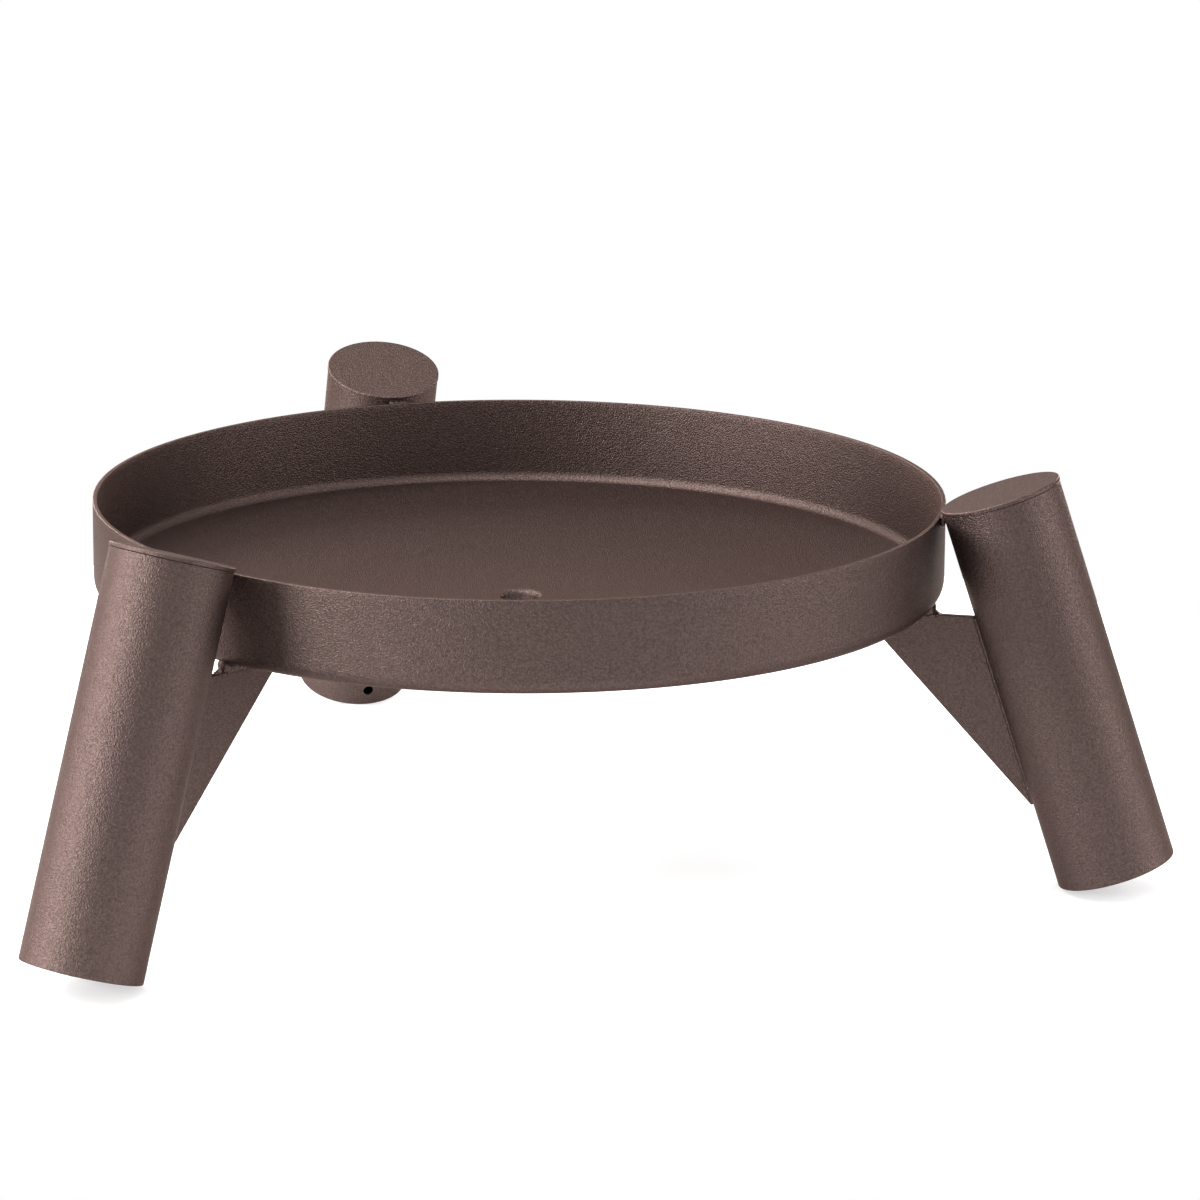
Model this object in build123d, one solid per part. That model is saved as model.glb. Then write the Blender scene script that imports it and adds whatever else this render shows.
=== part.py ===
from build123d import *
import math
import os

# Round fire pit: a shallow dished steel pan with an upright rim, carried by three splayed round tubes.
# Each tube comes close to the rim with its top inner edge and is welded there, and a triangular gusset
# plate braces the pan's underside to the tube. A plate disc lies on each tube's top end, and another
# closes its foot from inside.
#
# Frame: millimetres, +Z up, ground at z = 0. One leg stands at the back (+Y), one at the front left
# and one at the front right. The origin is under the middle of the whole object's outline.

# ---------------------------------------------------------------- driving dimensions

PAN_RADIUS = 300.0          # outside of the pan's upright wall
SHEET = 3.0                 # pan sheet
WALL_DEPTH = 65.0           # rim down to the lowest level that the outer corner's circle reaches
CORNER_RADIUS = 10.0        # outside radius between wall and floor
FLOOR_EDGE_SLOPE = 9.0      # degrees the floor falls where it leaves the corner
FLOOR_DISH_SLOPE = 2.3      # degrees it still falls where the wide middle dish begins
FLOOR_EDGE_SWEEP = 750.0    # radius of the arc between those two slopes
RIM_ROUND = 0.5             # softened cut edges of the rim

DRAIN_RADIUS = 13.0         # bore of the drain hole in the middle of the floor
DRAIN_MOUTH_ROUND = 4.0     # radius of the floor's roll into the drain collar, on the inside face
DRAIN_COLLAR_LENGTH = 6.0   # straight part of the collar

LEG_RADIUS = 42.0
LEG_WALL = 3.0
LEG_LENGTH = 278.0          # without the disc on its top end
LEG_TILT = 18.5             # degrees from upright, outwards going down
LEG_LIP = 2.15              # height of the tube's top inner edge above the rim
LEG_FIT_GAP = 0.72          # from the rim's outside to that edge
LEG_EDGE_ROUND = 0.8        # softened square-cut tube ends
LEG_ANGLES = {"back": 90.0, "left": 210.0, "right": 330.0}

TOP_CAP_RADIUS = 42.5       # the disc stands a little proud of the tube
TOP_CAP_THICKNESS = 3.0
TOP_CAP_ROUND = 1.0         # on its upper edge
TOP_CAP_UNDER_ROUND = 0.4
FOOT_CAP_THICKNESS = 4.0
FOOT_CAP_RECESS = 0.8       # disc face inside the tube's end
FOOT_CAP_ROUND = 0.8

VENT_RADIUS = 4.0           # vent hole in the inner side of each tube
VENT_HEIGHT = 13.0          # from the tube's bottom end to the hole's middle

GUSSET_THICKNESS = 5.0
GUSSET_INNER_RADIUS = 242.0  # from the pan's axis to the plate's inner tip, where the floor rests on it
GUSSET_SIDE = 145.0          # along the tube
GUSSET_NOSE = 2.0            # blunt ends of the plate's two sharp tips
FIT_UP = 0.1                 # gap left for welding between the plate and its neighbours

FILLET_LEG = 2.5             # gusset-to-tube fillet weld
PAN_FILLET_LEG = 3.5         # gusset-to-pan fillet weld
RIM_WELD_WIDTH = 13.0
RIM_WELD_TOP = 1.6           # above the rim
RIM_WELD_BOTTOM = -7.0       # below the rim

# ---------------------------------------------------------------- derived geometry
# Every piece is built about the pan's axis with the rim's top at z = 0, and each leg in the XZ plane,
# pointing along +X. place() and place_leg() then take it to the part's own frame.

TILT = math.radians(LEG_TILT)
DOWN_LEG = Vector(math.sin(TILT), 0, -math.cos(TILT))
OUT_OF_LEG = Vector(math.cos(TILT), 0, math.sin(TILT))
LEG_TOP_EDGE = Vector(PAN_RADIUS + LEG_FIT_GAP, 0, LEG_LIP)
LEG_TOP = LEG_TOP_EDGE + OUT_OF_LEG * LEG_RADIUS
LEG_FOOT = LEG_TOP + DOWN_LEG * LEG_LENGTH
LEG_PLANE = Plane(origin=LEG_FOOT, x_dir=OUT_OF_LEG, z_dir=-DOWN_LEG)

# the tube's softened end stops short of its sharp corner by this much, downwards and outwards alike
ROUND_LOSS = LEG_EDGE_ROUND * (math.sin(TILT) + math.cos(TILT) - 1)
FOOT_REACH = (LEG_FOOT + OUT_OF_LEG * LEG_RADIUS).X - ROUND_LOSS
FOOT_BOTTOM = (LEG_FOOT - OUT_OF_LEG * LEG_RADIUS).Z + ROUND_LOSS
RIM_HEIGHT = -FOOT_BOTTOM
PAN_Y = (PAN_RADIUS - FOOT_REACH) / 2

# the corner circle and the two floor arcs are tangent to each other
EDGE = math.radians(FLOOR_EDGE_SLOPE)
DISH = math.radians(FLOOR_DISH_SLOPE)
CORNER_CENTRE = Vector(PAN_RADIUS - CORNER_RADIUS, 0, CORNER_RADIUS - WALL_DEPTH)
EDGE_NORMAL = Vector(-math.sin(EDGE), 0, math.cos(EDGE))
DISH_NORMAL = Vector(-math.sin(DISH), 0, math.cos(DISH))
EDGE_CENTRE = CORNER_CENTRE + EDGE_NORMAL * (FLOOR_EDGE_SWEEP - CORNER_RADIUS)
DISH_START = EDGE_CENTRE - DISH_NORMAL * FLOOR_EDGE_SWEEP
DISH_SWEEP = DISH_START.X / math.sin(DISH)
DISH_CENTRE = DISH_START + DISH_NORMAL * DISH_SWEEP


def place(shape):
    """Move a piece from the pan's frame to the part's frame."""
    return Pos(0, PAN_Y, RIM_HEIGHT) * shape


def place_leg(shape, angle):
    """Turn a leg piece from +X to its own direction about the pan's axis, then place it."""
    return place(Rot(0, 0, angle) * shape)


def arc_height(centre, radius, x):
    """Height of the lower half of a circle at distance x from the pan's axis."""
    return centre.Z - math.sqrt(radius**2 - (x - centre.X) ** 2)


def tube_inside_x(z):
    """Distance from the pan's axis to the tube's inner generator at height z."""
    return LEG_TOP_EDGE.X + (LEG_TOP_EDGE.Z - z) * math.tan(TILT)


def along_leg(point):
    """Distance of a point from the tube's bottom end, along the tube."""
    return (LEG_FOOT - point).dot(DOWN_LEG)


# ---------------------------------------------------------------- pan


def pan_skin(inset, end_x):
    """Lines and arcs of the pan's section, inset from the outer face, from the rim in to end_x."""
    corner = CORNER_RADIUS - inset
    edge = FLOOR_EDGE_SWEEP - inset
    dish = DISH_SWEEP - inset
    wall_foot = CORNER_CENTRE + Vector(corner, 0, 0)
    corner_middle = CORNER_CENTRE + Vector(math.cos(math.pi / 4), 0, -math.sin(math.pi / 4)) * corner
    corner_end = CORNER_CENTRE - EDGE_NORMAL * corner
    edge_middle_x = (corner_end.X + DISH_START.X) / 2
    edge_middle = Vector(edge_middle_x, 0, arc_height(EDGE_CENTRE, edge, edge_middle_x))
    edge_end = EDGE_CENTRE - DISH_NORMAL * edge
    dish_middle_x = (edge_end.X + end_x) / 2
    dish_middle = Vector(dish_middle_x, 0, arc_height(DISH_CENTRE, dish, dish_middle_x))
    dish_end = Vector(end_x, 0, arc_height(DISH_CENTRE, dish, end_x))
    return [
        Line(Vector(PAN_RADIUS - inset, 0, 0), wall_foot),
        ThreePointArc(wall_foot, corner_middle, corner_end),
        ThreePointArc(corner_end, edge_middle, edge_end),
        ThreePointArc(edge_end, dish_middle, dish_end),
    ]


def spun(edges):
    """Solid of revolution about the pan's axis from a closed outline in the XZ plane."""
    return revolve(make_face(edges), axis=Axis.Z)


def pan_block():
    """The pan's outer shape, filled up to the rim."""
    outer = pan_skin(0, 0)
    return spun(outer + [Line(outer[-1] @ 1, (0, 0, 0)), Line((0, 0, 0), (PAN_RADIUS, 0, 0))])


def drain_collar(mouth_top, mouth_under):
    """Section of the collar drawn down around the drain hole, between the floor's two faces."""
    bore_top = mouth_top.Z - DRAIN_MOUTH_ROUND
    bottom = bore_top - DRAIN_COLLAR_LENGTH
    outside = DRAIN_RADIUS + SHEET
    under_round = DRAIN_MOUTH_ROUND - SHEET
    diagonal = Vector(-math.cos(math.pi / 4), 0, math.sin(math.pi / 4))
    roll_centre = Vector(mouth_top.X, 0, bore_top)
    outside_top = Vector(outside, 0, bore_top)
    bore_start = Vector(DRAIN_RADIUS, 0, bore_top)
    return [
        ThreePointArc(mouth_under, roll_centre + diagonal * under_round, outside_top),
        Line(outside_top, (outside, 0, bottom)),
        Line((outside, 0, bottom), (DRAIN_RADIUS, 0, bottom)),
        Line((DRAIN_RADIUS, 0, bottom), bore_start),
        ThreePointArc(bore_start, roll_centre + diagonal * DRAIN_MOUTH_ROUND, mouth_top),
    ]


def pan():
    mouth_x = DRAIN_RADIUS + DRAIN_MOUTH_ROUND
    outer = pan_skin(0, mouth_x)
    inner = pan_skin(SHEET, mouth_x)
    collar = drain_collar(mouth_top=inner[-1] @ 1, mouth_under=outer[-1] @ 1)
    rim = Line((PAN_RADIUS - SHEET, 0, 0), (PAN_RADIUS, 0, 0))
    shell = spun([rim] + outer + collar + inner)
    rim_edges = shell.edges().filter_by(GeomType.CIRCLE).sort_by(Axis.Z)[-2:]
    return fillet(rim_edges, RIM_ROUND)


# ---------------------------------------------------------------- legs


def leg_block(radius):
    """Solid round bar on the tube's axis, as long as the tube."""
    return LEG_PLANE * Pos(0, 0, LEG_LENGTH / 2) * Cylinder(radius, LEG_LENGTH)


def leg_tube():
    tube = Cylinder(LEG_RADIUS, LEG_LENGTH) - Cylinder(LEG_RADIUS - LEG_WALL, LEG_LENGTH)
    tube = fillet(tube.edges().filter_by(GeomType.CIRCLE), LEG_EDGE_ROUND)
    vent_x = LEG_WALL / 2 - LEG_RADIUS
    vent = Pos(vent_x, 0, VENT_HEIGHT - LEG_LENGTH / 2) * Rot(0, 90, 0) * Cylinder(VENT_RADIUS, 4 * LEG_WALL)
    return LEG_PLANE * Pos(0, 0, LEG_LENGTH / 2) * (tube - vent)


def leg_top_cap():
    """Disc on the tube's top end, a little wider than the tube, with softened edges."""
    disc = Cylinder(TOP_CAP_RADIUS, TOP_CAP_THICKNESS)
    edges = disc.edges().filter_by(GeomType.CIRCLE).sort_by(Axis.Z)
    disc = fillet(edges[-1], TOP_CAP_ROUND)
    under_edge = disc.edges().filter_by(GeomType.CIRCLE).sort_by(Axis.Z)[0]
    disc = fillet(under_edge, TOP_CAP_UNDER_ROUND)
    return LEG_PLANE * Pos(0, 0, LEG_LENGTH + TOP_CAP_THICKNESS / 2) * disc


def leg_foot_cap():
    """Disc inside the tube's bottom end, with its outer face's edge softened."""
    disc = Cylinder(LEG_RADIUS - LEG_WALL, FOOT_CAP_THICKNESS)
    disc = fillet(disc.faces().sort_by(Axis.Z)[0].edges(), FOOT_CAP_ROUND)
    return LEG_PLANE * Pos(0, 0, FOOT_CAP_RECESS + FOOT_CAP_THICKNESS / 2) * disc


# ---------------------------------------------------------------- gussets

GUSSET_TOP = arc_height(EDGE_CENTRE, FLOOR_EDGE_SWEEP, GUSSET_INNER_RADIUS) - FIT_UP
GUSSET_INNER = Vector(GUSSET_INNER_RADIUS, 0, GUSSET_TOP)
GUSSET_OUTER = Vector(tube_inside_x(GUSSET_TOP) - FIT_UP, 0, GUSSET_TOP)
GUSSET_TIP = GUSSET_OUTER + DOWN_LEG * GUSSET_SIDE


def plate(points, thickness):
    """Flat plate in the XZ plane, half its thickness to each side."""
    outline = Polyline(*points, close=True)
    return extrude(make_face(outline), amount=thickness / 2, both=True)


def gusset():
    slope = (GUSSET_TIP - GUSSET_INNER).normalized()
    inner_nose = GUSSET_INNER + slope * (GUSSET_NOSE / -slope.Z)
    tip_angle = slope.get_angle(DOWN_LEG)
    tip_nose = GUSSET_TIP - slope * (GUSSET_NOSE / math.sin(math.radians(tip_angle)))
    tip_corner = tip_nose + OUT_OF_LEG * GUSSET_NOSE
    inner_corner = Vector(inner_nose.X, 0, GUSSET_TOP)
    return plate([inner_corner, GUSSET_OUTER, tip_corner, tip_nose, inner_nose], GUSSET_THICKNESS)


# ---------------------------------------------------------------- welds


def rim_weld():
    """Bead that fills the wedge between the rim's outside and the tube."""
    depth = RIM_WELD_TOP - RIM_WELD_BOTTOM
    reach = 2 * CORNER_RADIUS
    bead = Pos(PAN_RADIUS, 0, RIM_WELD_TOP - depth / 2) * Box(reach, RIM_WELD_WIDTH, depth)
    bead = bead - Cylinder(PAN_RADIUS, 4 * depth)
    return bead - leg_block(LEG_RADIUS)


def gusset_leg_weld():
    """A fillet along each side of the plate, where it meets the tube."""
    side = GUSSET_THICKNESS / 2
    toe = side + FILLET_LEG
    toe_x = -math.sqrt(LEG_RADIUS**2 - toe**2)
    root_x = 1 - LEG_RADIUS
    section = Polyline((-LEG_RADIUS - FILLET_LEG, side), (toe_x, toe), (root_x, toe), (root_x, side), close=True)
    start = along_leg(GUSSET_TIP) + 2 * FILLET_LEG
    end = along_leg(GUSSET_OUTER) - FILLET_LEG
    fillet_bar = extrude(make_face(section), amount=end - start)
    fillet_bar = fillet_bar - Cylinder(LEG_RADIUS, 3 * LEG_LENGTH)
    pair = [fillet_bar, mirror(fillet_bar, about=Plane.XZ)]
    return [LEG_PLANE * Pos(0, 0, start) * bar for bar in pair]


def gusset_pan_weld(block, gusset_plate):
    """Bead that fills the wedge between the plate's top edge and the pan, with a fillet on each side."""
    side = GUSSET_THICKNESS / 2
    toe = side + PAN_FILLET_LEG
    foot = GUSSET_TOP - PAN_FILLET_LEG
    head = GUSSET_TOP + 2 * CORNER_RADIUS
    reach = PAN_RADIUS - GUSSET_INNER_RADIUS
    section = Polyline(
        (0, -side, foot), (0, side, foot), (0, toe, GUSSET_TOP), (0, toe, head),
        (0, -toe, head), (0, -toe, GUSSET_TOP), close=True,
    )
    bead = extrude(make_face(section), amount=2 * reach, dir=(1, 0, 0))
    bead = Pos(GUSSET_INNER_RADIUS, 0, 0) * bead
    # seen from the side, the bead ends in a steep toe under the pan's corner
    corner_x = PAN_RADIUS - SHEET
    outline = plate(
        [
            (GUSSET_INNER_RADIUS, 0, foot),
            (PAN_RADIUS + 1.5, 0, foot),
            (PAN_RADIUS + 1.5, 0, GUSSET_TOP),
            (corner_x + 1, 0, GUSSET_TOP + 3),
            (corner_x, 0, -WALL_DEPTH + SHEET),
            (GUSSET_INNER_RADIUS, 0, -WALL_DEPTH + SHEET),
        ],
        4 * toe,
    )
    return (bead & outline) - block - gusset_plate


# ---------------------------------------------------------------- assembly


def leg_pieces():
    """Every piece of one leg, in the XZ plane."""
    gusset_plate = gusset()
    return {
        "leg_tube": leg_tube(),
        "leg_top_cap": leg_top_cap(),
        "leg_foot_cap": leg_foot_cap(),
        "gusset": gusset_plate,
        "rim_weld": rim_weld(),
        "gusset_leg_weld": gusset_leg_weld(),
        "gusset_pan_weld": gusset_pan_weld(pan_block(), gusset_plate),
    }


def write(name, shape):
    """Write one node, with each of its solids on its own where it has several."""
    solids = shape if isinstance(shape, list) else shape.solids()
    node = solids[0] if len(solids) == 1 else Compound(children=list(solids))
    export_step(node, os.path.join("parts", name + ".step"))


os.makedirs("parts", exist_ok=True)
write("pan", place(pan()))
for piece, shape in leg_pieces().items():
    solids = shape if isinstance(shape, list) else shape.solids()
    for side_name, angle in LEG_ANGLES.items():
        write(f"{piece}_{side_name}", [place_leg(solid, angle) for solid in solids])

print("rim height", round(RIM_HEIGHT, 3), "pan axis y", round(PAN_Y, 3))
print("gusset top below rim", round(GUSSET_TOP, 3), "dish sweep", round(DISH_SWEEP, 1))
print("pan centre, outer face below rim", round((DISH_CENTRE - Vector(0, 0, DISH_SWEEP)).Z, 3))
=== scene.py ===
import math
import random

import bmesh
import bpy
from mathutils import Matrix, Vector


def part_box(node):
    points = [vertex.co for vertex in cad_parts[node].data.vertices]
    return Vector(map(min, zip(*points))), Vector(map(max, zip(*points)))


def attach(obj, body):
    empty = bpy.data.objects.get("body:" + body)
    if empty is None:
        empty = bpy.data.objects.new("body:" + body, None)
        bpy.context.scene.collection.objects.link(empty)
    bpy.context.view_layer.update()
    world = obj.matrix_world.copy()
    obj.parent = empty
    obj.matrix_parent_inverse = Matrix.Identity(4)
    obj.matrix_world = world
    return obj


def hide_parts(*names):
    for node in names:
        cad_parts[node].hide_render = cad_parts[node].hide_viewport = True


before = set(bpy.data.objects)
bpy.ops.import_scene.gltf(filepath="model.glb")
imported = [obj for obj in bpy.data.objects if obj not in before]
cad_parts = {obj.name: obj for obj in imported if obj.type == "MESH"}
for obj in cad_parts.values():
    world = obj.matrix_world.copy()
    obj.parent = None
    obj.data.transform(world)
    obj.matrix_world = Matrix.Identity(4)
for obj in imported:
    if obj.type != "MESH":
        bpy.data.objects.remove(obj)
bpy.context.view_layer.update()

ROOT = "root"

# ---------------------------------------------------------------- places and sizes, in metres
# The pan is built about its own axis with the rim's top at z = 0, and each leg's pieces in the XZ plane,
# pointing along +X. in_place() and about_pan() take them to the frame. Tubes and discs are built on the
# tube's own axis, and on_leg() takes them to that XZ plane first.

PAN_LOW, PAN_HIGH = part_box("pan")
PAN_RADIUS = (PAN_HIGH.x - PAN_LOW.x) / 2
RIM_MIDDLE = Vector(((PAN_LOW.x + PAN_HIGH.x) / 2, (PAN_LOW.y + PAN_HIGH.y) / 2, PAN_HIGH.z))
LEG_ANGLES = {"back": math.radians(90), "left": math.radians(210), "right": math.radians(330)}
QUARTER_TURN = math.pi / 2
HALF_TURN = math.pi
FULL_TURN = 2 * math.pi

SHEET = 0.003
WALL_DEPTH = 0.065
CORNER_RADIUS = 0.010
FLOOR_EDGE_SLOPE = math.radians(9)
FLOOR_DISH_SLOPE = math.radians(2.3)
FLOOR_EDGE_SWEEP = 0.750
RIM_ROUND = 0.0005
DRAIN_RADIUS = 0.013
DRAIN_MOUTH_ROUND = 0.004
DRAIN_COLLAR_LENGTH = 0.006

LEG_RADIUS = 0.042
LEG_WALL = 0.003
LEG_LENGTH = 0.278
LEG_TILT = math.radians(18.5)
LEG_LIP = 0.00215          # the tube's top inner edge over the rim
LEG_FIT_GAP = 0.00072      # and out from the pan's wall
LEG_EDGE_ROUND = 0.0008
TOP_CAP_RADIUS = 0.0425
TOP_CAP_THICKNESS = 0.003
TOP_CAP_ROUND = 0.001
TOP_CAP_UNDER_ROUND = 0.0004
FOOT_CAP_THICKNESS = 0.004
FOOT_CAP_RECESS = 0.0008
FOOT_CAP_ROUND = 0.0008
VENT_RADIUS = 0.004
VENT_HEIGHT = 0.013

GUSSET_THICKNESS = 0.005
GUSSET_INNER_RADIUS = 0.242   # from the pan's axis to the plate's inner tip
GUSSET_SIDE = 0.145           # along the tube
GUSSET_NOSE = 0.002           # width of the blunt tips
GUSSET_EDGE_ROUND = 0.0006
FIT_UP = 0.0001               # gap between the plate and the pan or the tube

DOWN_LEG = Vector((math.sin(LEG_TILT), 0, -math.cos(LEG_TILT)))
OUT_OF_LEG = Vector((math.cos(LEG_TILT), 0, math.sin(LEG_TILT)))
LEG_TOP_EDGE = Vector((PAN_RADIUS + LEG_FIT_GAP, 0, LEG_LIP))
LEG_FOOT = LEG_TOP_EDGE + OUT_OF_LEG * LEG_RADIUS + DOWN_LEG * LEG_LENGTH

CORNER_CENTRE = Vector((PAN_RADIUS - CORNER_RADIUS, 0, CORNER_RADIUS - WALL_DEPTH))
EDGE_NORMAL = Vector((-math.sin(FLOOR_EDGE_SLOPE), 0, math.cos(FLOOR_EDGE_SLOPE)))
DISH_NORMAL = Vector((-math.sin(FLOOR_DISH_SLOPE), 0, math.cos(FLOOR_DISH_SLOPE)))
EDGE_CENTRE = CORNER_CENTRE + EDGE_NORMAL * (FLOOR_EDGE_SWEEP - CORNER_RADIUS)
DISH_START = EDGE_CENTRE - DISH_NORMAL * FLOOR_EDGE_SWEEP
DISH_SWEEP = DISH_START.x / math.sin(FLOOR_DISH_SLOPE)
DISH_CENTRE = DISH_START + DISH_NORMAL * DISH_SWEEP


def in_place():
    """Takes the pan's own axis and rim height to the frame."""
    return Matrix.Translation(RIM_MIDDLE)


def about_pan(side):
    """Turns a leg's piece from the XZ plane to its own direction about the pan's axis."""
    return in_place() @ Matrix.Rotation(LEG_ANGLES[side], 4, "Z")


def on_leg():
    """From a frame on the tube's axis, with z up the tube from its foot, to the leg's XZ plane."""
    axes = Matrix((OUT_OF_LEG, Vector((0, 1, 0)), -DOWN_LEG)).transposed()
    return Matrix.Translation(LEG_FOOT) @ axes.to_4x4()


def floor_underside(x):
    """Height of the outer face of the floor's edge at distance x from the pan's axis."""
    return EDGE_CENTRE.z - math.sqrt(FLOOR_EDGE_SWEEP**2 - (x - EDGE_CENTRE.x) ** 2)


GUSSET_TOP = floor_underside(GUSSET_INNER_RADIUS) - FIT_UP

# ---------------------------------------------------------------- camera

CAMERA_AZIMUTH = math.radians(-17.93)   # 0 looks along +Y
CAMERA_ELEVATION = math.radians(13.60)
CAMERA_DISTANCE = 3.653                 # from the middle of the rim
CAMERA_LENS = 155.4                     # millimetres
CAMERA_SENSOR = 36
CAMERA_ROLL = math.radians(0.43)
CAMERA_REACH = 100
AIM_SIDEWAYS = 0.0571                   # the camera looks a little right of the pan's axis
AIM_BELOW_RIM = 0.0784


def make_camera():
    turn = Matrix.Rotation(CAMERA_AZIMUTH, 3, "Z")
    to_camera = turn @ Vector((0, -math.cos(CAMERA_ELEVATION), math.sin(CAMERA_ELEVATION)))
    sideways = turn @ Vector((1, 0, 0))
    place = RIM_MIDDLE + to_camera * CAMERA_DISTANCE
    aim = RIM_MIDDLE + sideways * AIM_SIDEWAYS - Vector((0, 0, AIM_BELOW_RIM))
    data = bpy.data.cameras.new("camera")
    data.lens = CAMERA_LENS
    data.sensor_width = CAMERA_SENSOR
    data.clip_end = CAMERA_REACH
    camera = bpy.data.objects.new("camera", data)
    look = (aim - place).to_track_quat("-Z", "Y").to_matrix()
    roll = Matrix.Rotation(CAMERA_ROLL, 3, "Z")
    camera.matrix_world = Matrix.Translation(place) @ (look @ roll).to_4x4()
    bpy.context.scene.collection.objects.link(camera)
    bpy.context.scene.camera = camera


# ---------------------------------------------------------------- studio

WHITE = (1.0, 1.0, 1.0, 1)
WORLD_STRENGTH = 1.0
FLOOR_COLOUR = (0.65, 0.65, 0.65, 1)
FLOOR_GLOW = 0.42        # the floor is a softly lit white table
FLOOR_ROUGHNESS = 0.8
FLOOR_RADIUS = 0.8
FLOOR_SIDES = 96

# Soft boxes that all face the middle of the rim. Each has its angle from the camera's direction
# (to the right, in degrees), its distance from the pan's axis, its height over the rim, its own
# width and height, and its watts.
LIGHTS = {
    "left_front_box": (-59, 3.0, 0.50, 0.85, 1.1, 78),
    "left_box": (-100, 3.0, 0.50, 1.0, 1.1, 42),
    "left_middle_box": (-85, 2.6, 1.75, 1.0, 1.1, 42),
    "left_high_box": (-90, 1.5, 2.6, 1.3, 1.3, 76),
    "back_left_box": (-150, 3.0, 0.50, 0.75, 1.1, 95),
    "back_left_high_box": (-150, 2.6, 1.75, 1.0, 1.1, 28),
    "back_right_box": (150, 3.0, 0.50, 0.75, 1.1, 60),
    "right_box": (78, 3.0, 0.50, 0.85, 1.1, 35),
    "top_box": (180, 0.1, 3.0, 1.8, 1.8, 42),
}


def area_light(name, place, aim, width, height, power):
    data = bpy.data.lights.new(name, "AREA")
    data.shape = "RECTANGLE"
    data.size = width
    data.size_y = height
    data.energy = power
    light = bpy.data.objects.new(name, data)
    light.location = place
    light.rotation_mode = "QUATERNION"
    light.rotation_quaternion = (aim - place).to_track_quat("-Z", "Y")
    bpy.context.scene.collection.objects.link(light)


def make_lights():
    for name, (angle, distance, rise, width, height, power) in LIGHTS.items():
        turn = Matrix.Rotation(CAMERA_AZIMUTH + math.radians(angle), 3, "Z")
        place = RIM_MIDDLE + turn @ Vector((0, -distance, rise))
        area_light(name, place, RIM_MIDDLE, width, height, power)


def make_world():
    world = bpy.data.worlds.new("studio")
    world.use_nodes = True
    background = world.node_tree.nodes["Background"]
    background.inputs["Color"].default_value = WHITE
    background.inputs["Strength"].default_value = WORLD_STRENGTH
    bpy.context.scene.world = world
    bpy.context.scene.view_settings.view_transform = "Standard"


def make_floor():
    mesh = bpy.data.meshes.new("floor")
    corners = []
    for i in range(FLOOR_SIDES):
        angle = FULL_TURN * i / FLOOR_SIDES
        corners.append((FLOOR_RADIUS * math.cos(angle), FLOOR_RADIUS * math.sin(angle), 0))
    mesh.from_pydata(corners, [], [range(FLOOR_SIDES)])
    floor = bpy.data.objects.new("floor", mesh)
    paint = bpy.data.materials.new("floor_paint")
    paint.use_nodes = True
    shader = paint.node_tree.nodes["Principled BSDF"]
    shader.inputs["Base Color"].default_value = FLOOR_COLOUR
    shader.inputs["Emission Color"].default_value = WHITE
    shader.inputs["Emission Strength"].default_value = FLOOR_GLOW
    shader.inputs["Roughness"].default_value = FLOOR_ROUGHNESS
    mesh.materials.append(paint)
    bpy.context.scene.collection.objects.link(floor)


# ---------------------------------------------------------------- powder coat

COAT_TINT = (0.083, 0.059, 0.051, 1)
COAT_CLOUD_TINT = (0.088, 0.059, 0.056, 1)
COAT_EDGE_TINT = (0.55, 0.50, 0.48, 1)   # keeps grazing reflections bronze
GRAIN_SCALE = 1000                       # pebbles to a metre
FLAKE_SCALE = 650
CLOUD_SCALE = 9
FLAKE_GLINT = 0.22                       # share by which flakes lighten or darken the tint
NOISE_SPAN = (0.3, 0.7)                  # most of a noise lies between these
GRAIN_DEPTH = 0.0006
COAT_ROUGHNESS = (0.37, 0.53)


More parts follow.
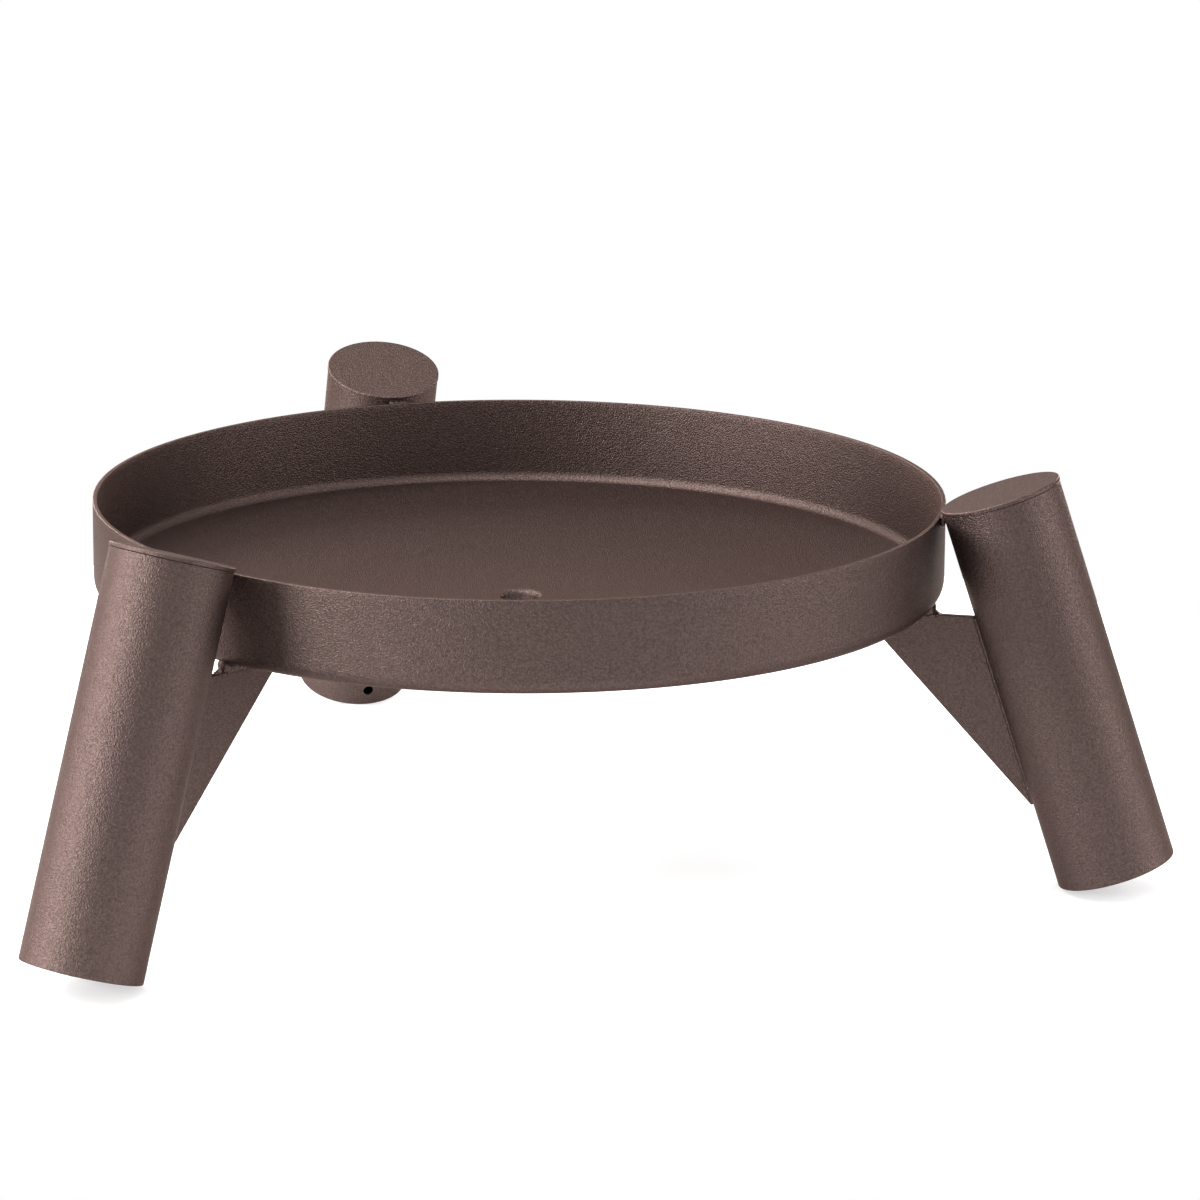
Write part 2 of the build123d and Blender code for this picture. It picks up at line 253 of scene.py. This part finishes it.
def coat_material(name):
    """Bronze textured powder coat: metallic, with fine pebble grain, flakes and faint clouds of tint."""
    material = bpy.data.materials.new(name)
    material.use_nodes = True
    nodes = material.node_tree.nodes
    links = material.node_tree.links
    shader = nodes["Principled BSDF"]
    shader.inputs["Metallic"].default_value = 1.0
    shader.inputs["Specular Tint"].default_value = COAT_EDGE_TINT

    place = nodes.new("ShaderNodeTexCoord")

    def noise(scale, detail):
        node = nodes.new("ShaderNodeTexNoise")
        node.inputs["Scale"].default_value = scale
        node.inputs["Detail"].default_value = detail
        links.new(place.outputs["Object"], node.inputs["Vector"])
        return node

    grain = noise(GRAIN_SCALE, 1)
    flake = noise(FLAKE_SCALE, 1)
    cloud = noise(CLOUD_SCALE, 3)

    tint = nodes.new("ShaderNodeMix")
    tint.data_type = "RGBA"
    tint.inputs["A"].default_value = COAT_TINT
    tint.inputs["B"].default_value = COAT_CLOUD_TINT
    links.new(cloud.outputs["Fac"], tint.inputs["Factor"])

    glint = nodes.new("ShaderNodeMapRange")
    glint.inputs["From Min"].default_value = NOISE_SPAN[0]
    glint.inputs["From Max"].default_value = NOISE_SPAN[1]
    glint.inputs["To Min"].default_value = 1 - FLAKE_GLINT
    glint.inputs["To Max"].default_value = 1 + FLAKE_GLINT
    links.new(flake.outputs["Fac"], glint.inputs["Value"])
    speckled = nodes.new("ShaderNodeVectorMath")
    speckled.operation = "SCALE"
    links.new(tint.outputs["Result"], speckled.inputs[0])
    links.new(glint.outputs["Result"], speckled.inputs["Scale"])
    links.new(speckled.outputs["Vector"], shader.inputs["Base Color"])

    rough = nodes.new("ShaderNodeMapRange")
    rough.inputs["To Min"].default_value = COAT_ROUGHNESS[0]
    rough.inputs["To Max"].default_value = COAT_ROUGHNESS[1]
    links.new(grain.outputs["Fac"], rough.inputs["Value"])
    links.new(rough.outputs["Result"], shader.inputs["Roughness"])

    bump = nodes.new("ShaderNodeBump")
    bump.inputs["Strength"].default_value = 1.0
    bump.inputs["Distance"].default_value = GRAIN_DEPTH
    links.new(grain.outputs["Fac"], bump.inputs["Height"])
    links.new(bump.outputs["Normal"], shader.inputs["Normal"])
    return material


COAT = coat_material("powder_coat")

# ---------------------------------------------------------------- mesh tools


def arc(centre, radius, start, end, steps):
    """Points (r, z) of an arc, angles in radians from +r towards +z, both ends included."""
    points = []
    for i in range(steps + 1):
        angle = start + (end - start) * i / steps
        points.append((centre[0] + radius * math.cos(angle), centre[1] + radius * math.sin(angle)))
    return points


def run(start, end, steps):
    """Points of a straight stretch, without its two ends."""
    points = []
    for i in range(1, steps):
        share = i / steps
        points.append((start[0] + (end[0] - start[0]) * share, start[1] + (end[1] - start[1]) * share))
    return points


def lathe(profile, segments, shift=None, hollow=True):
    """(r, z) points turned about z. A hollow piece has a closed section, and a solid one flat ends.

    shift(angle, r, z) gives an extra radius.
    """
    mesh = bmesh.new()
    rings = []
    for i in range(segments):
        angle = FULL_TURN * i / segments
        ring = []
        for r, z in profile:
            out = r + (shift(angle, r, z) if shift else 0)
            ring.append(mesh.verts.new((out * math.cos(angle), out * math.sin(angle), z)))
        rings.append(ring)
    count = len(profile)
    strips = count if hollow else count - 1
    for i, ring in enumerate(rings):
        after = rings[(i + 1) % segments]
        for k in range(strips):
            following = (k + 1) % count
            mesh.faces.new((ring[k], after[k], after[following], ring[following]))
    if not hollow:
        mesh.faces.new([ring[0] for ring in rings])
        mesh.faces.new([ring[-1] for ring in rings])
    bmesh.ops.recalc_face_normals(mesh, faces=mesh.faces)
    return mesh


def finish_piece(name, mesh, place, node):
    """Turns a bmesh into a painted piece that stands for a CAD node."""
    mesh.transform(place)
    data = bpy.data.meshes.new(name)
    mesh.to_mesh(data)
    mesh.free()
    for face in data.polygons:
        face.use_smooth = True
    data.materials.append(COAT)
    piece = bpy.data.objects.new(name, data)
    bpy.context.scene.collection.objects.link(piece)
    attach(piece, ROOT)
    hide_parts(node)
    return piece


def bake_modifiers(piece):
    """Writes the result of a piece's modifiers into its mesh."""
    shape = piece.evaluated_get(bpy.context.evaluated_depsgraph_get())
    data = bpy.data.meshes.new_from_object(shape)
    piece.modifiers.clear()
    old = piece.data
    piece.data = data
    data.name = piece.name
    bpy.data.meshes.remove(old)


def even_normals(piece):
    """Keeps broad faces flat and lets the softened edges carry the turn of the shading."""
    weighted = piece.modifiers.new("even_normals", "WEIGHTED_NORMAL")
    weighted.keep_sharp = True
    weighted.weight = 100
    bake_modifiers(piece)


# ---------------------------------------------------------------- pan

PAN_SEGMENTS = 360
PRESS_WAVE = 0.00012     # how far the pressed wall is out of round
PRESS_WAVES = ((3, 1.0, 0.6), (5, 0.7, 2.1), (8, 0.5, 0.0))   # waves to a turn, strength, phase
WELD_PULL = 0.00035      # how far each rim weld draws the rim in
WELD_PULL_ANGLE = math.radians(5)


def pan_skin(inset, end_r):
    """Points of the pan's section, inset from the outer face, from the wall in to end_r."""
    corner_end = FLOOR_EDGE_SLOPE - QUARTER_TURN
    edge_end = FLOOR_DISH_SLOPE - QUARTER_TURN
    edge = FLOOR_EDGE_SWEEP - inset
    dish = DISH_SWEEP - inset
    dish_end = -math.acos((end_r - DISH_CENTRE.x) / dish)
    wall = PAN_RADIUS - inset
    points = run((wall, -RIM_ROUND), (wall, CORNER_CENTRE.z), steps=12)
    points += arc((CORNER_CENTRE.x, CORNER_CENTRE.z), CORNER_RADIUS - inset, 0, corner_end, steps=14)
    points += arc((EDGE_CENTRE.x, EDGE_CENTRE.z), edge, corner_end, edge_end, steps=16)[1:]
    points += arc((DISH_CENTRE.x, DISH_CENTRE.z), dish, edge_end, dish_end, steps=24)[1:]
    return points


def pan_section():
    """The whole closed section: rim, outer skin, drain collar and inner skin."""
    mouth_r = DRAIN_RADIUS + DRAIN_MOUTH_ROUND
    outer = pan_skin(0, mouth_r)
    inner = pan_skin(SHEET, mouth_r)
    bore_top = inner[-1][1] - DRAIN_MOUTH_ROUND
    bottom = bore_top - DRAIN_COLLAR_LENGTH
    outside = DRAIN_RADIUS + SHEET
    lip = bottom + RIM_ROUND
    rim = arc((PAN_RADIUS - SHEET + RIM_ROUND, -RIM_ROUND), RIM_ROUND, HALF_TURN, QUARTER_TURN, steps=4)
    rim += arc((PAN_RADIUS - RIM_ROUND, -RIM_ROUND), RIM_ROUND, QUARTER_TURN, 0, steps=4)
    collar = arc((mouth_r, bore_top), DRAIN_MOUTH_ROUND - SHEET, QUARTER_TURN, HALF_TURN, steps=6)[1:]
    collar += run((outside, bore_top), (outside, bottom), steps=3)
    collar += arc((outside - RIM_ROUND, lip), RIM_ROUND, 0, -QUARTER_TURN, steps=3)
    collar += arc((DRAIN_RADIUS + RIM_ROUND, lip), RIM_ROUND, -QUARTER_TURN, -HALF_TURN, steps=3)
    collar += run((DRAIN_RADIUS, bottom), (DRAIN_RADIUS, bore_top), steps=3)
    collar += arc((mouth_r, bore_top), DRAIN_MOUTH_ROUND, HALF_TURN, QUARTER_TURN, steps=8)[:-1]
    return rim + outer + collar + inner[::-1]


def pan_shift(angle, r, z):
    """The wall's slight waviness, strongest at the rim, with a pull at each leg."""
    if r < PAN_RADIUS - 2 * SHEET:
        return 0
    height = max(0.0, 1 + z / WALL_DEPTH)
    wave = sum(strength * math.sin(count * angle + phase) for count, strength, phase in PRESS_WAVES)
    pull = 0
    for leg in LEG_ANGLES.values():
        away = (angle - leg + HALF_TURN) % FULL_TURN - HALF_TURN
        pull += math.exp(-((away / WELD_PULL_ANGLE) ** 2))
    return height * (PRESS_WAVE * wave - WELD_PULL * pull)


def make_pan():
    mesh = lathe(pan_section(), PAN_SEGMENTS, pan_shift)
    finish_piece("pan_shell", mesh, in_place(), "pan")


# ---------------------------------------------------------------- legs

LEG_SEGMENTS = 144
VENT_SEGMENTS = 48


def tube_section():
    """Closed section of the tube's wall, with softened ends."""
    outer = LEG_RADIUS
    inner = LEG_RADIUS - LEG_WALL
    soft = LEG_EDGE_ROUND
    top = LEG_LENGTH - soft
    points = arc((outer - soft, top), soft, QUARTER_TURN, 0, steps=5)
    points += run((outer, top), (outer, soft), steps=14)
    points += arc((outer - soft, soft), soft, 0, -QUARTER_TURN, steps=5)
    points += arc((inner + soft, soft), soft, -QUARTER_TURN, -HALF_TURN, steps=5)
    points += run((inner, soft), (inner, top), steps=14)
    points += arc((inner + soft, top), soft, HALF_TURN, QUARTER_TURN, steps=5)
    return points


def cut_vent(piece, side):
    """Bores the vent hole through the inner side of the tube."""
    cutter_mesh = bmesh.new()
    bmesh.ops.create_cone(
        cutter_mesh,
        cap_ends=True,
        segments=VENT_SEGMENTS,
        radius1=VENT_RADIUS,
        radius2=VENT_RADIUS,
        depth=4 * LEG_WALL,
    )
    centre = Matrix.Translation((LEG_WALL / 2 - LEG_RADIUS, 0, VENT_HEIGHT))
    across = Matrix.Rotation(QUARTER_TURN, 4, "Y")
    cutter_mesh.transform(about_pan(side) @ on_leg() @ centre @ across)
    data = bpy.data.meshes.new("vent_cutter")
    cutter_mesh.to_mesh(data)
    cutter_mesh.free()
    cutter = bpy.data.objects.new("vent_cutter", data)
    bpy.context.scene.collection.objects.link(cutter)
    cut = piece.modifiers.new("vent", "BOOLEAN")
    cut.object = cutter
    cut.operation = "DIFFERENCE"
    cut.solver = "EXACT"
    bpy.context.view_layer.update()
    bake_modifiers(piece)
    bpy.data.objects.remove(cutter)
    bpy.data.meshes.remove(data)


def make_tube(side):
    mesh = lathe(tube_section(), LEG_SEGMENTS)
    piece = finish_piece(f"tube_{side}", mesh, about_pan(side) @ on_leg(), f"leg_tube_{side}")
    cut_vent(piece, side)
    even_normals(piece)


def disc_section(radius, thickness, top_round, under_round):
    """Section of a disc with its upper face at z = 0, from near that face's middle round to the lower's."""
    middle = radius / 4
    points = [(middle, 0)]
    points += run((middle, 0), (radius - top_round, 0), steps=6)
    points += arc((radius - top_round, -top_round), top_round, QUARTER_TURN, 0, steps=6)
    points += arc((radius - under_round, under_round - thickness), under_round, 0, -QUARTER_TURN, steps=4)
    points += run((radius - under_round, -thickness), (middle, -thickness), steps=6)
    points += [(middle, -thickness)]
    return points


def make_cap(node, piece_name, section, place):
    mesh = lathe(section, LEG_SEGMENTS, hollow=False)
    piece = finish_piece(piece_name, mesh, place, node)
    even_normals(piece)


def make_top_cap(side):
    section = disc_section(TOP_CAP_RADIUS, TOP_CAP_THICKNESS, TOP_CAP_ROUND, TOP_CAP_UNDER_ROUND)
    up = Matrix.Translation((0, 0, LEG_LENGTH + TOP_CAP_THICKNESS))
    make_cap(f"leg_top_cap_{side}", f"top_disc_{side}", section, about_pan(side) @ on_leg() @ up)


def make_foot_cap(side):
    inside = LEG_RADIUS - LEG_WALL
    section = disc_section(inside, FOOT_CAP_THICKNESS, FOOT_CAP_ROUND, FOOT_CAP_ROUND / 2)
    down = Matrix.Translation((0, 0, FOOT_CAP_RECESS)) @ Matrix.Rotation(HALF_TURN, 4, "X")
    make_cap(f"leg_foot_cap_{side}", f"foot_disc_{side}", section, about_pan(side) @ on_leg() @ down)


# ---------------------------------------------------------------- gussets


def gusset_outline():
    """The plate's corners (x, z), with blunt tips."""
    top_edge_x = LEG_TOP_EDGE.x + (LEG_TOP_EDGE.z - GUSSET_TOP) * math.tan(LEG_TILT) - FIT_UP
    inner = Vector((GUSSET_INNER_RADIUS, 0, GUSSET_TOP))
    outer = Vector((top_edge_x, 0, GUSSET_TOP))
    tip = outer + DOWN_LEG * GUSSET_SIDE
    slope = (tip - inner).normalized()
    inner_nose = inner + slope * (GUSSET_NOSE / -slope.z)
    tip_nose = tip - slope * (GUSSET_NOSE / math.sin(slope.angle(DOWN_LEG)))
    tip_corner = tip_nose + OUT_OF_LEG * GUSSET_NOSE
    return [inner, outer, tip_corner, tip_nose, inner_nose]


def make_gusset(side):
    mesh = bmesh.new()
    half = Vector((0, GUSSET_THICKNESS / 2, 0))
    back = [mesh.verts.new(corner + half) for corner in gusset_outline()]
    front = [mesh.verts.new(corner - half) for corner in gusset_outline()]
    mesh.faces.new(back)
    mesh.faces.new(front[::-1])
    count = len(back)
    for i in range(count):
        k = (i + 1) % count
        mesh.faces.new((back[i], front[i], front[k], back[k]))
    bmesh.ops.recalc_face_normals(mesh, faces=mesh.faces)
    edges = mesh.edges[:]
    bmesh.ops.bevel(mesh, geom=edges, offset=GUSSET_EDGE_ROUND, segments=3, profile=0.5, affect="EDGES")
    piece = finish_piece(f"gusset_plate_{side}", mesh, about_pan(side), f"gusset_{side}")
    even_normals(piece)


# ---------------------------------------------------------------- welds
# Each bead is laid as a row of overlapping puddles, which one skin then covers.

PUDDLE_PITCH = 0.0014
PUDDLE_SWELL = 0.08       # the most that a puddle swells or shrinks, as a share of its size
PUDDLE_DRIFT = 0.00015    # the most that it strays each way
WELD_VOXEL = 0.0004

RIM_BEAD_HALF_LENGTH = 0.0055
RIM_BEAD_OUT = 0.0010     # its middle, out from the pan's wall
RIM_BEAD_HEIGHT = -0.0026
RIM_PUDDLE = (0.0021, 0.0014, 0.0043)

FILLET_FOOT_END = 0.002   # from the plate's lower tip
FILLET_HEAD_END = 0.001   # from the plate's upper corner
FILLET_SINK = 0.0004      # its middle, inside the tube's skin
FILLET_ASIDE = 0.0021     # its middle, from the middle of the plate
FILLET_PUDDLE = (0.0026, 0.0030, 0.0013)

PAN_BEAD_START = 0.002    # from the plate's inner tip
PAN_BEAD_REACH = 0.003    # past the centre of the pan's corner
PAN_BEAD_LAP = 0.0024     # how deep it laps over the plate and the pan
PAN_PUDDLE_LENGTH = 0.0014
PAN_PUDDLE_WIDTH = 0.0054
END_PUDDLE_REACH = 0.0045
END_PUDDLE_RISE = 0.0041
END_PUDDLE = (0.0028, 0.0052, 0.0055)
TOE_RADIUS = 0.004        # of the concave end of the bead
TOE_START = 0.0004
TOE_END = 0.0034
TOE_PITCH = 0.0006
TOE_PUDDLE_LENGTH = 0.0011
TOE_PUDDLE_WIDTH = 0.0040
TOE_LAP = 0.0004


def make_weld(name, puddles, place, node):
    """A bead from puddles, each a middle and three radii, in the frame that place takes home."""
    chance = random.Random(name)
    mesh = bmesh.new()
    for middle, radii in puddles:
        swell = chance.uniform(1 - PUDDLE_SWELL, 1 + PUDDLE_SWELL)
        drift = Vector([chance.uniform(-PUDDLE_DRIFT, PUDDLE_DRIFT) for _ in range(3)])
        spot = Matrix.Translation(Vector(middle) + drift)
        size = Matrix.Diagonal((*(radius * swell for radius in radii), 1))
        bmesh.ops.create_icosphere(mesh, subdivisions=3, radius=1, matrix=spot @ size)
    piece = finish_piece(name, mesh, place, node)
    skin = piece.modifiers.new("skin", "REMESH")
    skin.mode = "VOXEL"
    skin.voxel_size = WELD_VOXEL
    skin.use_smooth_shade = True
    smooth = piece.modifiers.new("soften", "SMOOTH")
    smooth.factor = 0.5
    smooth.iterations = 3
    bake_modifiers(piece)


def spaced(start, end, pitch):
    """Values from start to end, about a pitch apart."""
    steps = max(1, round(abs(end - start) / pitch))
    return [start + (end - start) * i / steps for i in range(steps + 1)]


def rim_weld_puddles():
    """The short bead in the wedge between the rim and the tube's top edge."""
    puddles = []
    for y in spaced(-RIM_BEAD_HALF_LENGTH, RIM_BEAD_HALF_LENGTH, PUDDLE_PITCH):
        bend = y * y / (2 * PAN_RADIUS)
        puddles.append(((PAN_RADIUS + RIM_BEAD_OUT - bend, y, RIM_BEAD_HEIGHT), RIM_PUDDLE))
    return puddles


def gusset_leg_puddles():
    """A fillet along each side of the plate, in the tube's own frame."""
    outer, tip_corner = gusset_outline()[1:3]
    foot = (LEG_FOOT - tip_corner).dot(DOWN_LEG)
    head = (LEG_FOOT - outer).dot(DOWN_LEG)
    puddles = []
    for side in (-1, 1):
        for z in spaced(foot + FILLET_FOOT_END, head - FILLET_HEAD_END, PUDDLE_PITCH):
            puddles.append(((-LEG_RADIUS + FILLET_SINK, side * FILLET_ASIDE, z), FILLET_PUDDLE))
    return puddles


def pan_underside(x):
    """Height of the pan's outer face below the floor's edge or the corner, at distance x from the axis."""
    if x < CORNER_CENTRE.x:
        return floor_underside(x)
    return CORNER_CENTRE.z - math.sqrt(max(0, CORNER_RADIUS**2 - (x - CORNER_CENTRE.x) ** 2))


def gusset_pan_puddles():
    """A bead that fills the wedge between the plate's top edge and the pan, and ends in a concave toe."""
    puddles = []
    for x in spaced(GUSSET_INNER_RADIUS + PAN_BEAD_START, CORNER_CENTRE.x + PAN_BEAD_REACH, PUDDLE_PITCH):
        under = pan_underside(x)
        middle = (under + GUSSET_TOP) / 2
        height = (under - GUSSET_TOP) / 2 + PAN_BEAD_LAP
        puddles.append(((x, 0, middle), (PAN_PUDDLE_LENGTH, PAN_PUDDLE_WIDTH, height)))
    end = CORNER_CENTRE.x + END_PUDDLE_REACH
    puddles.append(((end, 0, GUSSET_TOP + END_PUDDLE_RISE), END_PUDDLE))
    for reach in spaced(TOE_START, TOE_END, TOE_PITCH):
        rise = TOE_RADIUS - math.sqrt(TOE_RADIUS**2 - (TOE_RADIUS - reach) ** 2)
        middle = (end + END_PUDDLE[0] + reach, 0, GUSSET_TOP)
        puddles.append((middle, (TOE_PUDDLE_LENGTH, TOE_PUDDLE_WIDTH, rise + TOE_LAP)))
    return puddles


def make_welds(side):
    leg = about_pan(side)
    make_weld(f"rim_bead_{side}", rim_weld_puddles(), leg, f"rim_weld_{side}")
    make_weld(f"gusset_leg_bead_{side}", gusset_leg_puddles(), leg @ on_leg(), f"gusset_leg_weld_{side}")
    make_weld(f"gusset_pan_bead_{side}", gusset_pan_puddles(), leg, f"gusset_pan_weld_{side}")


# ---------------------------------------------------------------- the whole

make_camera()
make_world()
make_lights()
make_floor()
make_pan()
for leg_side in LEG_ANGLES:
    make_tube(leg_side)
    make_top_cap(leg_side)
    make_foot_cap(leg_side)
    make_gusset(leg_side)
    make_welds(leg_side)

bpy.context.view_layer.update()
